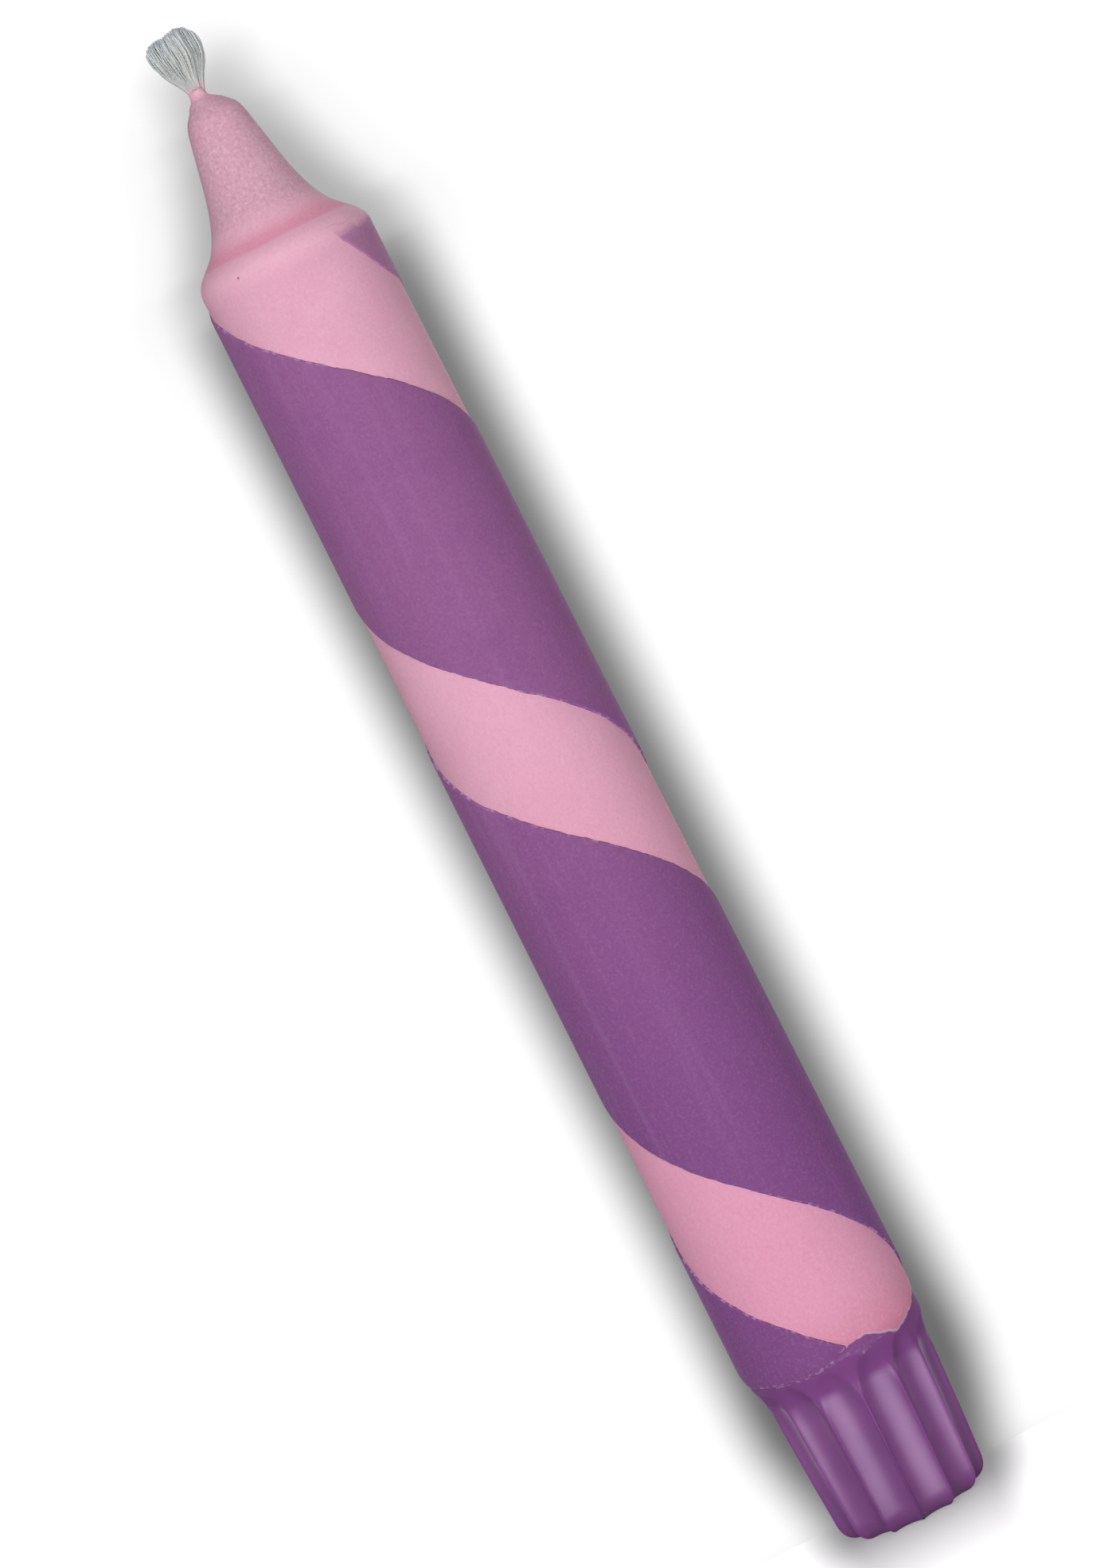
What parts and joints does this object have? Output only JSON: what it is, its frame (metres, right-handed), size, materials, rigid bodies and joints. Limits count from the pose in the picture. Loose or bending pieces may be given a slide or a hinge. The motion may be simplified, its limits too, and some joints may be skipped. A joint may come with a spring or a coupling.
{
  "type": "taper candle",
  "caption": "Slim wax candle with a fluted foot for a socket, a pointed tip with a frayed cotton wick, and a pink and purple spiral stripe.",
  "frame": {"origin": "centre of the flat end under the foot, on the candle's axis", "axes": "+Z along the candle from the foot to the wick, -Y towards the side that the picture shows, +X to its right"},
  "size_m": [0.0237, 0.0238, 0.1965],
  "materials": {
    "glossy_purple_wax": "smooth glossy wax",
    "matte_pink_wax": "matte dipped wax with a fine grain",
    "matte_purple_wax": "matte dipped wax with a fine grain",
    "cotton": "loose cotton fibres"
  },
  "bodies": {
    "root": {"candle_body": "glossy_purple_wax", "pink_coat": "matte_pink_wax", "purple_spiral": "matte_purple_wax", "wick": "cotton"}
  },
  "joints": []
}
